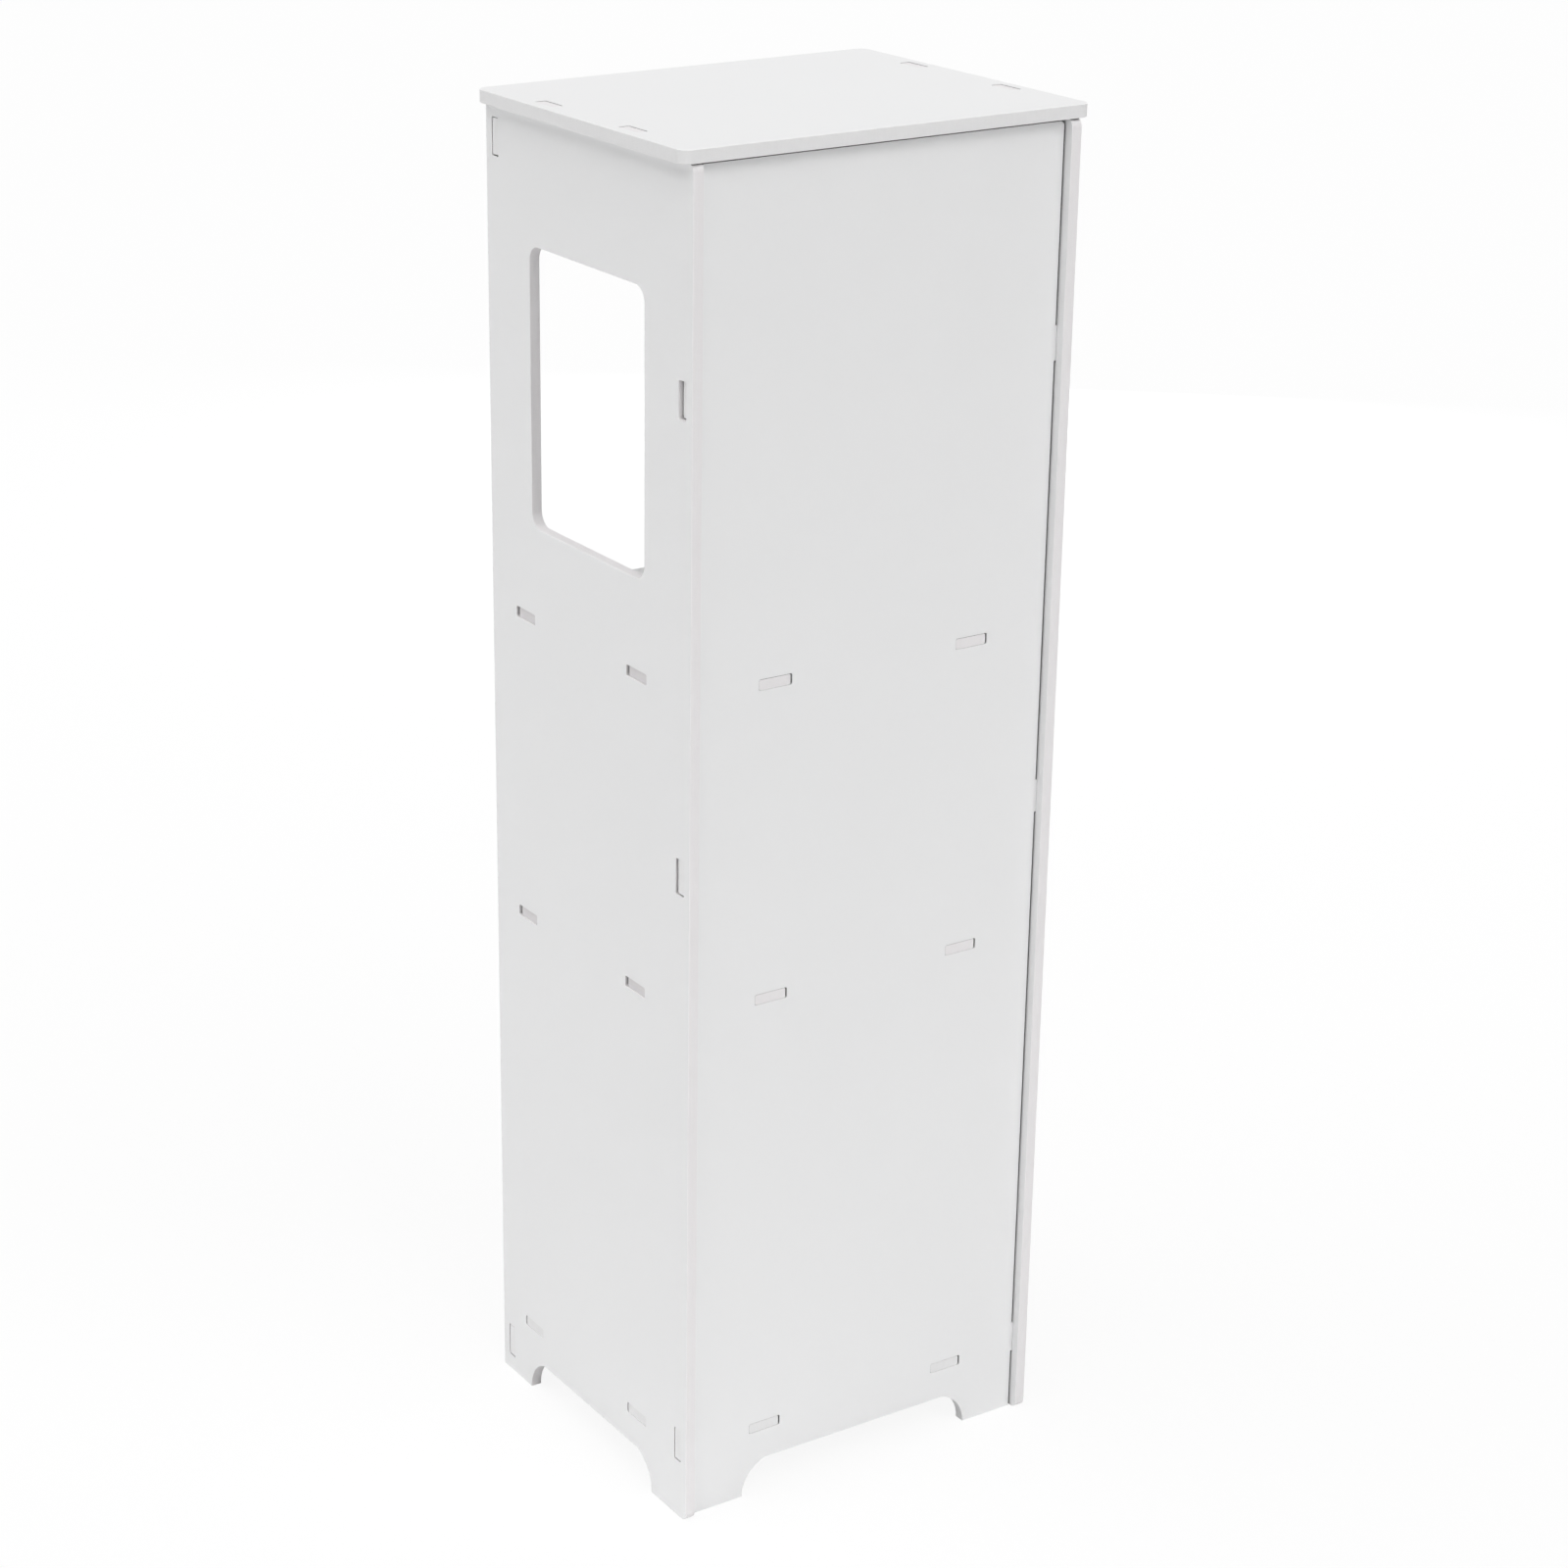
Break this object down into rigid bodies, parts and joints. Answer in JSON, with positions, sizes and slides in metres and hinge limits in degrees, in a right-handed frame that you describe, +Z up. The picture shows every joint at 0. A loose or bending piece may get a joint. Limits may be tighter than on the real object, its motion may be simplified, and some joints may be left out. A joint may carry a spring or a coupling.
{
  "type": "narrow bathroom cabinet",
  "caption": "Tall narrow free-standing bathroom cabinet of slotted white foam board, with an open niche and side window above and a pivoting door below.",
  "frame": {"origin": "on the floor, at the middle of the overall box in plan", "axes": "+Z up, +Y towards the back, +X towards the side with the window; the door is on the -Y side"},
  "size_m": [0.259, 0.2276, 0.8],
  "materials": {
    "board": "white foam board with a fine matt skin and sawn edges",
    "pin_plastic": "white moulded nylon",
    "knob_metal": "satin nickel",
    "steel": "zinc plated",
    "catch_plastic": "white moulded plastic",
    "magnet": "dark ferrite"
  },
  "bodies": {
    "carcass": {"side_panel_right": "board", "side_panel_left": "board", "back_panel": "board", "top_board": "board", "niche_shelf": "board", "middle_shelf": "board", "bottom_board": "board", "top_rail": "board", "plinth_rail": "board", "catch_housing": "catch_plastic", "catch_magnet": "magnet", "catch_pole_plates": "steel", "catch_screws": "steel"},
    "door": {"door_panel": "board", "hinge_pin_upper": "pin_plastic", "hinge_pin_lower": "pin_plastic", "door_knob": "knob_metal", "knob_screw": "steel", "strike_plate": "steel", "strike_screw": "steel"}
  },
  "joints": [
    {"name": "door_hinge", "type": "hinge", "parent": "carcass", "child": "door", "pos_m": [-0.11195, -0.0915, 0.27485], "axis": [0, 0, -1], "range_deg": [0, 95]}
  ]
}
